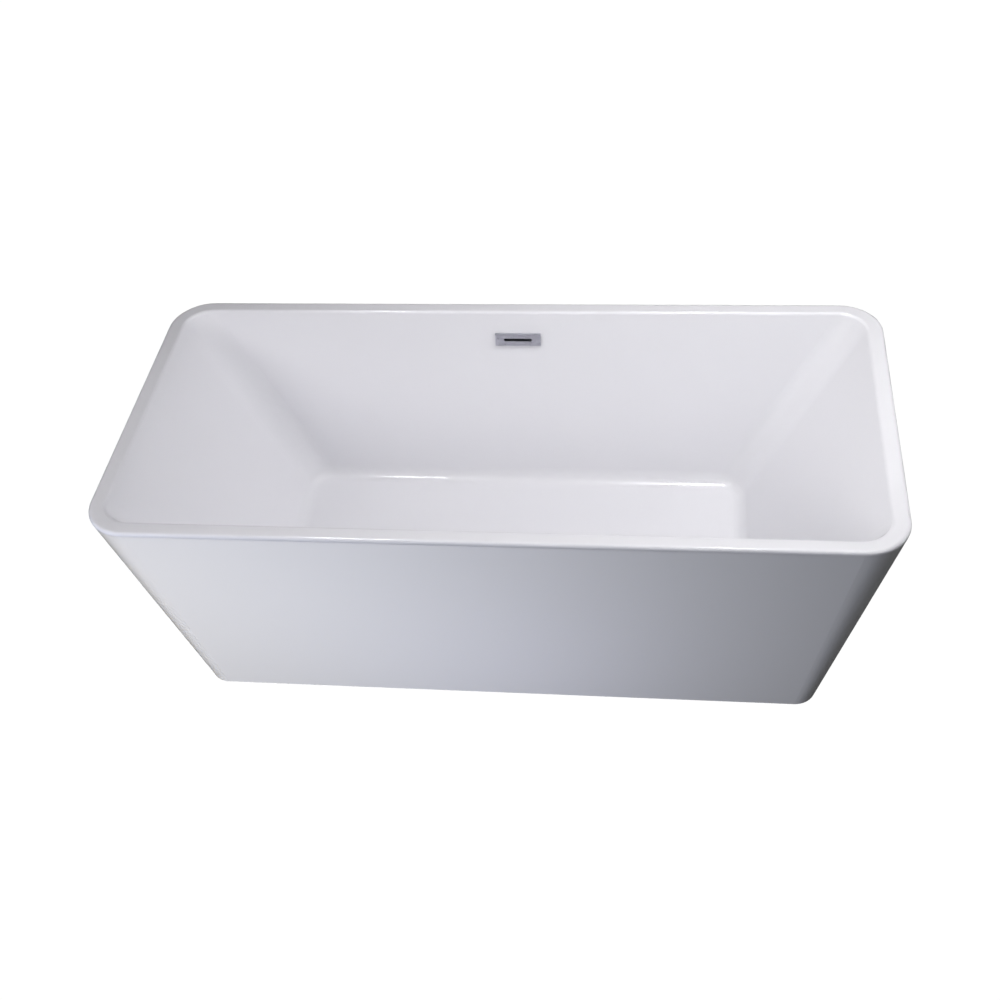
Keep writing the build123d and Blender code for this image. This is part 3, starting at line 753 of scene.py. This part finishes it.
class ThreadRig(Rig):
    """A threaded rod: a core with one helical ridge."""

    steps_a_turn = 20
    ridge_corners = 4
    core_sides = 32
    plain_pitches = 2.0

    def __init__(self) -> None:
        """Builds the tree: a spiral carries a four-sided profile round a plain core."""
        super().__init__("thread_rig", ("Core Radius", "Ridge", "Pitch", "Length"))
        length, pitch, core = self.given("Length"), self.given("Pitch"), self.given("Core Radius")
        ridge = self.given("Ridge")
        run = length - pitch * self.plain_pitches
        turns = {
            "Resolution": self.steps_a_turn,
            "Rotations": run / pitch,
            "Start Radius": core,
            "End Radius": core,
            "Height": run,
        }
        spiral = self.nodes.add("GeometryNodeCurveSpiral", inputs=turns)
        level = self.nodes.add("GeometryNodeSetCurveNormal", {"mode": "Z_UP"}, {"Curve": spiral})
        corners = {"Resolution": self.ridge_corners, "Radius": ridge}
        profile = self.nodes.add("GeometryNodeCurvePrimitiveCircle", {}, corners)
        swept = {"Curve": level, "Profile Curve": profile, "Fill Caps": True}
        thread = self.nodes.add("GeometryNodeCurveToMesh", inputs=swept)
        lifted = {"Geometry": thread, "Translation": self.at_height(pitch)}
        thread = self.nodes.add("GeometryNodeTransform", inputs=lifted)
        sizes = {"Vertices": self.core_sides, "Radius": core, "Depth": length}
        bar = self.nodes.add("GeometryNodeMeshCylinder", inputs=sizes)
        raised = {"Geometry": bar, "Translation": self.at_height(length * 0.5)}
        bar = self.nodes.add("GeometryNodeTransform", inputs=raised)
        self.finish(self.join(bar, thread))

    def at_height(self, height: Expr) -> Expr:
        """Makes an upward offset.

        Args:
            height: How far up.

        Returns:
            The offset as a vector.
        """
        return self.nodes.add("ShaderNodeCombineXYZ", inputs={"Z": height})


class HoseRig(Rig):
    """A ribbed hose along a cornered line whose corners become arcs."""

    bend_steps = 24
    hose_sides = 28

    def __init__(self) -> None:
        """Builds the tree: the line is rounded, then carries a circle that swells and narrows."""
        sizes = ("Bend Radius", "Outer Radius", "Rib Depth", "Rib Pitch", "Cuff", "Step")
        super().__init__("hose_rig", sizes)
        line = self.nodes.add("NodeGroupInput", output="Geometry")
        bend = {
            "Curve": line,
            "Count": self.bend_steps,
            "Radius": self.given("Bend Radius"),
            "Limit Radius": True,
        }
        rounded = self.nodes.add("GeometryNodeFilletCurve", {"mode": "POLY"}, bend)
        steps = {"Curve": rounded, "Length": self.given("Step")}
        fine = self.nodes.add("GeometryNodeResampleCurve", {"mode": "LENGTH"}, steps)
        along = self.nodes.add("GeometryNodeSplineParameter", output="Length")
        total = self.nodes.add("GeometryNodeCurveLength", inputs={0: fine})
        cuff = self.given("Cuff")
        ribbed = (along > cuff) * (along < total - cuff)
        wave = (along / self.given("Rib Pitch") * FULL_TURN).wave()
        radius = self.given("Outer Radius") - self.given("Rib Depth") * wave * ribbed
        unit = {"Resolution": self.hose_sides, "Radius": 1.0}
        circle = self.nodes.add("GeometryNodeCurvePrimitiveCircle", {}, unit)
        swept = {"Curve": fine, "Profile Curve": circle, "Scale": radius, "Fill Caps": True}
        self.finish(self.nodes.add("GeometryNodeCurveToMesh", inputs=swept))


def smooth_mesh(mesh: bpy.types.Mesh, crease: float) -> bpy.types.Mesh:
    """Shades a mesh smooth except over sharp corners.

    Args:
        mesh: The mesh to shade.
        crease: The angle in degrees above which an edge stays sharp.

    Returns:
        The same mesh.
    """
    work = bmesh.new()
    work.from_mesh(mesh)
    bmesh.ops.remove_doubles(work, verts=work.verts, dist=MERGE_DISTANCE)
    for face in work.faces:
        face.smooth = True
    for edge in work.edges:
        edge.smooth = edge.calc_face_angle(0.0) < math.radians(crease)
    work.to_mesh(mesh)
    work.free()
    return mesh


def outward(mesh: bpy.types.Mesh) -> bpy.types.Mesh:
    """Turns every closed shell of a mesh so that its faces point outwards.

    Args:
        mesh: The mesh to mend.

    Returns:
        The same mesh.
    """
    work = bmesh.new()
    work.from_mesh(mesh)
    bmesh.ops.recalc_face_normals(work, faces=work.faces)
    work.to_mesh(mesh)
    work.free()
    return mesh


class Workshop:
    """Holds the materials and dresses the pieces that come from the record."""

    def __init__(self) -> None:
        """Makes one material for each slot of the record."""
        self.made = {slot: finish.material(slot + "_finish") for slot, finish in finishes().items()}
        self.slots = {s["node"]: s["material_slot"] for s in frame["record"]["subparts"]}

    def dress(self, node: str, material: bpy.types.Material | None = None) -> None:
        """Gives a node its finish.

        Args:
            node: The node's name.
            material: A finish of its own, or none for its slot's.
        """
        worn = material or self.made[self.slots[node]]
        slots = frame["nodes"][node].data.materials
        slots.clear()
        slots.append(worn)
        LOG.info("%s wears %s", node, worn.name)

    def piece(
        self, name: str, mesh: bpy.types.Mesh, body: str, replaced: str
    ) -> bpy.types.Object:
        """Puts a finished mesh in the place of a node.

        Args:
            name: The new piece's name.
            mesh: The mesh, in the tub's own coordinates.
            body: The body that it moves with.
            replaced: The node that it stands for.

        Returns:
            The new object.
        """
        made = bpy.data.objects.new(name, mesh)
        bpy.context.scene.collection.objects.link(made)
        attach(made, body)
        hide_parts(replaced)
        LOG.info("%s stands for %s: %d faces", name, replaced, len(mesh.polygons))
        return made


@dataclass
class LevellingFeet:
    """The threaded rods of the four levelling feet."""

    ridge: float = 0.0009
    pitch: float = 0.00175
    crease: float = 40.0
    corners: tuple[str, ...] = ("front_left", "front_right", "rear_left", "rear_right")

    def build(self, shop: Workshop) -> None:
        """Gives each foot a rod with a real thread.

        Args:
            shop: The materials and the fitting of pieces.
        """
        rig = ThreadRig()
        for corner in self.corners:
            node = f"{corner}_foot_rod"
            low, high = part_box(node)
            middle = (low + high) / 2
            radius = (high.x - low.x) / 2
            values = {
                "Core Radius": radius - self.ridge,
                "Ridge": self.ridge,
                "Pitch": self.pitch,
                "Length": high.z - low.z,
                "Material": shop.made[shop.slots[node]],
            }
            base = bpy.data.meshes.new("foot_base")
            shift = Matrix.Translation((middle.x, middle.y, low.z))
            name = f"{corner}_threaded_rod"
            mesh = smooth_mesh(outward(rig.bake(base, values, shift, name)), self.crease)
            shop.piece(name, mesh, f"{corner}_foot", node)


@dataclass
class OverflowDrain:
    """The overflow's ribbed hose, clamped at both ends."""

    top: Point = (0.0, 0.362979, 0.486154)
    corner: Point = (0.0, 0.265024, 0.054)
    end: Point = (0.0, 0.0355, 0.054)
    bend_radius: float = 0.1293
    outer_radius: float = 0.011
    rib_depth: float = 0.0013
    rib_pitch: float = 0.0048
    cuff: float = 0.022
    step: float = 0.0008
    crease: float = 60.0

    def build(self, shop: Workshop) -> None:
        """Makes the hose between the overflow's body and the waste tee.

        Args:
            shop: The materials and the fitting of pieces.
        """
        line = bpy.data.curves.new("hose_line", "CURVE")
        line.dimensions = "3D"
        run = line.splines.new("POLY")
        stops = (self.top, self.corner, self.end)
        run.points.add(len(stops) - 1)
        for point, place in zip(run.points, stops):
            point.co = (*place, 1.0)
        values = {
            "Bend Radius": self.bend_radius,
            "Outer Radius": self.outer_radius,
            "Rib Depth": self.rib_depth,
            "Rib Pitch": self.rib_pitch,
            "Cuff": self.cuff,
            "Step": self.step,
            "Material": shop.made["hose_plastic"],
        }
        mesh = HoseRig().bake(line, values, Matrix.Identity(4), "ribbed_hose")
        mesh = smooth_mesh(outward(mesh), self.crease)
        shop.piece("ribbed_hose", mesh, "tub", "overflow_hose")


@dataclass
class PopUpPlug:
    """The coil spring under the plug, which stretches as the plug lifts; the copy made here stays
    still.
    """

    node: str = "plug_spring"
    held_by: str = "tub"
    lifted_by: str = "drain_plug"
    crease: float = 50.0

    def build(self, shop: Workshop) -> None:
        """Puts a smooth-shaded copy of the spring in the place of its node.

        Args:
            shop: Not used.
        """
        source = frame["nodes"][self.node]
        mesh = source.data.copy()
        mesh.name = "coil_spring"
        mesh.transform(source.matrix_world)
        made = bpy.data.objects.new("coil_spring", outward(smooth_mesh(mesh, self.crease)))
        bpy.context.scene.collection.objects.link(made)
        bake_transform(made)
        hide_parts(self.node)
        LOG.info("coil_spring stands for %s: %d faces", self.node, len(mesh.polygons))


class Timber(Enum):
    """The battens whose grain runs across the tub."""

    LEFT = "left_batten"
    RIGHT = "right_batten"


class Lit(Enum):
    """What a lamp falls on."""

    ALL = "all"
    BASIN = "basin"
    SKIRT = "skirt"


@dataclass(frozen=True)
class Lamp:
    """A soft rectangular lamp that faces a point."""

    name: str
    place: Point
    target: Point
    size: Size
    power: float
    colour: Colour = WHITE
    lit: Lit = Lit.ALL
    reflects: bool = True
    fills: bool = True


TUB_MIDDLE: Point = (0.0, 0.0, 0.45)
WIDE: Size = (1.2, 1.0)
SQUARE: Size = (0.5, 0.5)
STRIP: Size = (0.6, 0.4)


def hidden_lamps(
    lit: Lit, rows: Sequence[tuple[str, Point, Point, Size, float, Colour]]
) -> tuple[Lamp, ...]:
    """Makes lamps that fall on one group and don't show in reflections.

    Args:
        lit: What they fall on.
        rows: Each lamp's name, place, target, size, power and colour.

    Returns:
        The lamps, in the order of the rows.
    """
    return tuple(Lamp(*row, lit=lit, reflects=False) for row in rows)


LAMPS = (
    *hidden_lamps(
        Lit.SKIRT,
        (
            (
                "skirt_front_left", (-1.5, -1.9, 0.26), (-0.75, -0.4, 0.26),
                STRIP, 5.85, (0.996, 0.986, 1.0),
            ),
            (
                "skirt_front_middle", (-0.75, -1.9, 0.26), (-0.375, -0.4, 0.26),
                STRIP, 16.19, (0.953, 0.962, 1.0),
            ),
            (
                "skirt_left_corner", (-1.9, -1.1, 0.25), (-0.6, -0.4, 0.3),
                (0.4, 0.4), 2.64, (1.0, 0.672, 0.0),
            ),
            (
                "skirt_foot", (0.0, -0.85, 0.01), (0.0, -0.36, 0.28),
                (0.5, 0.2), 0.42, (0.663, 0.693, 1.0),
            ),
            ("skirt_left_fill", (-2.051, -2.051, 1.7), TUB_MIDDLE, WIDE, 8.47, (0.129, 0.365, 1.0)),
        ),
    ),
    *hidden_lamps(
        Lit.BASIN,
        (
            ("basin_front_fill", (0.0, -2.9, 1.7), TUB_MIDDLE, WIDE, 3.88, (0.886, 0.944, 1.0)),
            ("basin_right_fill", (2.9, 0.0, 1.7), TUB_MIDDLE, WIDE, 9.58, (0.959, 0.959, 1.0)),
            ("basin_left_key", (-2.051, -2.051, 1.7), TUB_MIDDLE, WIDE, 29.33, (1.0, 0.981, 0.986)),
            (
                "basin_high_front", (0.0, -2.4, 3.2), TUB_MIDDLE,
                (1.0, 1.0), 8.90, (0.908, 0.909, 1.0),
            ),
            (
                "basin_above_11", (-0.6, 0.0, 1.7), (-0.42, 0.0, 0.4),
                SQUARE, 2.30, (0.942, 0.924, 1.0),
            ),
            ("basin_above_21", (0.0, 0.0, 1.7), (0.0, 0.0, 0.4), SQUARE, 2.78, (1.0, 0.983, 0.995)),
            (
                "basin_above_31", (0.6, 0.0, 1.7), (0.42, 0.0, 0.4),
                SQUARE, 5.69, (1.0, 0.992, 0.995),
            ),
            (
                "basin_above_32", (0.6, 0.9, 1.7), (0.42, 0.36, 0.4),
                SQUARE, 0.57, (1.0, 0.897, 0.93),
            ),
            (
                "basin_above_41", (1.2, 0.0, 1.7), (0.84, 0.0, 0.4),
                SQUARE, 6.04, (0.994, 0.991, 1.0),
            ),
            ("basin_above_42", (1.2, 0.9, 1.7), (0.84, 0.36, 0.4), SQUARE, 0.47, (0.95, 0.9, 1.0)),
            (
                "basin_low_fill", (-1.5, -1.9, 0.4), (-0.75, -0.4, 0.5),
                STRIP, 14.04, (0.719, 0.789, 1.0),
            ),
        ),
    ),
    Lamp(
        "soft_ceiling", (0.0, 0.0, 3.6), (0.0, 0.0, 0.0),
        (5.0, 5.0), 24.0, lit=Lit.BASIN, fills=False,
    ),
    Lamp(
        "left_gleam", (-0.88, -0.3, 3.0), (-0.88, -0.3, 0.0),
        (0.34, 0.16), 10.0, lit=Lit.BASIN, fills=False,
    ),
    Lamp(
        "right_gleam", (0.44, 0.45, 3.0), (0.44, 0.45, 0.0),
        (0.24, 0.14), 22.0, lit=Lit.BASIN, fills=False,
    ),
    Lamp("rear_fill", (1.3, 2.3, 0.05), (0.2, 0.3, 0.35), (1.2, 0.8), 30.0, reflects=False),
    Lamp("right_fill", (2.6, 0.7, 0.05), (0.7, 0.0, 0.35), (1.0, 0.8), 19.0, reflects=False),
    Lamp("rear_left_fill", (-2.0, 1.6, 0.05), (-0.5, 0.2, 0.35), (0.8, 0.8), 20.0, reflects=False),
    Lamp("underside_fill", (0.0, 0.0, -0.9), (0.0, 0.0, 0.3), (0.5, 0.3), 12.0),
)


@dataclass
class Studio:
    """A pale floor, soft lights and the camera."""

    floor_half: float = 9.0
    floor_gap: float = 0.001
    wall_height: float = 9.0
    wall_sweep: float = 3.0
    sweep_steps: int = 12
    wall_sides: int = 96
    ceiling_rise: float = 1.5
    glow_strength: float = 1.03
    camera_place: Point = (0.38808, -2.24995, 2.54535)
    yaw: float = -0.1804
    pitch: float = 0.7748
    roll: float = 0.1046
    focal_length: float = 49.03
    film_width: float = 36.0
    clip_end: float = 60.0
    surround: float = 0.02
    surround_colour: Colour = WHITE
    lamps: tuple[Lamp, ...] = LAMPS
    skirt_node: str = "outer_skirt"

    def camera(self) -> bpy.types.Object:
        """Adds the camera at its place and angle.

        Returns:
            The camera object.
        """
        ahead = Vector(
            (
                math.sin(self.yaw) * math.cos(self.pitch),
                math.cos(self.yaw) * math.cos(self.pitch),
                -math.sin(self.pitch),
            )
        )
        level = Vector((math.cos(self.yaw), -math.sin(self.yaw), 0.0))
        below = ahead.cross(level)
        right = level * math.cos(self.roll) + below * math.sin(self.roll)
        down = below * math.cos(self.roll) - level * math.sin(self.roll)
        data = bpy.data.cameras.new("studio_camera")
        data.lens = self.focal_length
        data.sensor_width = self.film_width
        data.clip_end = self.clip_end
        made = bpy.data.objects.new("studio_camera", data)
        turn = Matrix((right, -down, -ahead)).transposed().to_4x4()
        made.matrix_world = Matrix.Translation(self.camera_place) @ turn
        bpy.context.scene.collection.objects.link(made)
        bpy.context.scene.camera = made
        return made

    def glow(self, name: str, colour: Colour, strength: float) -> bpy.types.Material:
        """Makes an evenly lit material for the floor and backdrop, clear from behind.

        Args:
            name: The material's name.
            colour: Its colour.
            strength: Its brightness.

        Returns:
            The material.
        """
        made = bpy.data.materials.new(name)
        made.use_nodes = True
        made.node_tree.nodes.clear()
        nodes = Nodes(made.node_tree)
        emitted = {"Color": (*colour, 1.0), "Strength": strength}
        lit = nodes.add("ShaderNodeEmission", inputs=emitted)
        clear = nodes.add("ShaderNodeBsdfTransparent")
        behind = nodes.add("ShaderNodeNewGeometry", output="Backfacing")
        shown = nodes.add("ShaderNodeMixShader", inputs={0: behind, 1: lit, 2: clear})
        nodes.add("ShaderNodeOutputMaterial", inputs={"Surface": shown})
        return made

    def backdrop(self) -> bpy.types.Object:
        """Adds a pale floor that sweeps up into a round wall.

        Returns:
            The backdrop object.
        """
        around, sweep = self.wall_sides, self.wall_sweep
        profile = [(0.0, 0.0), (self.floor_half - sweep, 0.0)]
        for i in range(1, self.sweep_steps + 1):
            turn = 0.5 * math.pi * i / self.sweep_steps
            reach = self.floor_half - sweep * (1 - math.sin(turn))
            profile.append((reach, sweep * (1 - math.cos(turn))))
        profile.append((self.floor_half, self.wall_height))
        profile.append((0.0, self.wall_height + self.ceiling_rise))
        rings = profile[1:-1]
        points = [(0.0, 0.0, 0.0)]
        for reach, height in rings:
            for k in range(around):
                angle = FULL_TURN * k / around
                points.append((reach * math.cos(angle), reach * math.sin(angle), height))
        points.append((0.0, 0.0, profile[-1][1]))
        faces = [(0, 1 + k, 1 + (k + 1) % around) for k in range(around)]
        for ring in range(len(rings) - 1):
            low, high = 1 + ring * around, 1 + (ring + 1) * around
            for k in range(around):
                n = (k + 1) % around
                faces.append((low + k, high + k, high + n, low + n))
        last = 1 + (len(rings) - 1) * around
        faces += [(last + k, len(points) - 1, last + (k + 1) % around) for k in range(around)]
        mesh = bpy.data.meshes.new("studio_backdrop")
        mesh.from_pydata(points, [], faces)
        mesh.materials.append(self.glow("backdrop_glow", WHITE, self.glow_strength))
        made = bpy.data.objects.new("studio_backdrop", mesh)
        made.location.z = -self.floor_gap
        bpy.context.scene.collection.objects.link(made)
        made.visible_diffuse = False
        made.visible_glossy = False
        made.visible_shadow = False
        return made

    def lamp(self, lamp: Lamp, groups: Mapping[Lit, bpy.types.Collection]) -> bpy.types.Object:
        """Adds a soft lamp.

        Args:
            lamp: Its place, size and brightness.
            groups: The meshes that each kind of lamp falls on.

        Returns:
            The lamp object.
        """
        data = bpy.data.lights.new(lamp.name, "AREA")
        data.shape = "RECTANGLE"
        data.size, data.size_y = lamp.size
        data.energy = lamp.power
        data.color = lamp.colour
        made = bpy.data.objects.new(lamp.name, data)
        place, target = Vector(lamp.place), Vector(lamp.target)
        turn = (target - place).to_track_quat("-Z", "Y").to_matrix().to_4x4()
        made.matrix_world = Matrix.Translation(place) @ turn
        made.visible_glossy = lamp.reflects
        made.visible_diffuse = lamp.fills
        made.visible_camera = False
        if lamp.lit is not Lit.ALL:
            made.light_linking.receiver_collection = groups[lamp.lit]
        bpy.context.scene.collection.objects.link(made)
        return made

    def receivers(self) -> dict[Lit, bpy.types.Collection]:
        """Groups the object's meshes by the lamps that fall on them.

        Returns:
            One collection for the skirt and one for everything else on the object.
        """
        kinds = (Lit.BASIN, Lit.SKIRT)
        groups = {lit: bpy.data.collections.new("lit_" + lit.value) for lit in kinds}
        skirt = frame["nodes"][self.skirt_node]
        for shown in bpy.context.scene.objects:
            if shown.type == "MESH":
                groups[Lit.SKIRT if shown == skirt else Lit.BASIN].objects.link(shown)
        return groups

    def build(self) -> None:
        """Adds the lamps, the backdrop, the surrounding light and the camera."""
        groups = self.receivers()
        for lamp in self.lamps:
            self.lamp(lamp, groups)
        self.backdrop()
        world = bpy.data.worlds.new("studio_air")
        world.use_nodes = True
        air = world.node_tree.nodes["Background"].inputs
        air["Color"].default_value = (*self.surround_colour, 1.0)
        air["Strength"].default_value = self.surround
        bpy.context.scene.world = world
        bpy.context.scene.view_settings.view_transform = "Standard"
        self.camera()


def main() -> None:
    """Builds the looks in order."""
    logging.basicConfig(level=logging.INFO, format="%(message)s")
    shop = Workshop()
    for node in frame["nodes"]:
        shop.dress(node)
    crossways = Softwood(Axis.Y).material("cross_batten_finish")
    for batten in Timber:
        shop.dress(batten.value, crossways)
    LevellingFeet().build(shop)
    OverflowDrain().build(shop)
    PopUpPlug().build(shop)
    Studio().build()


if __name__ == "__main__":
    main()
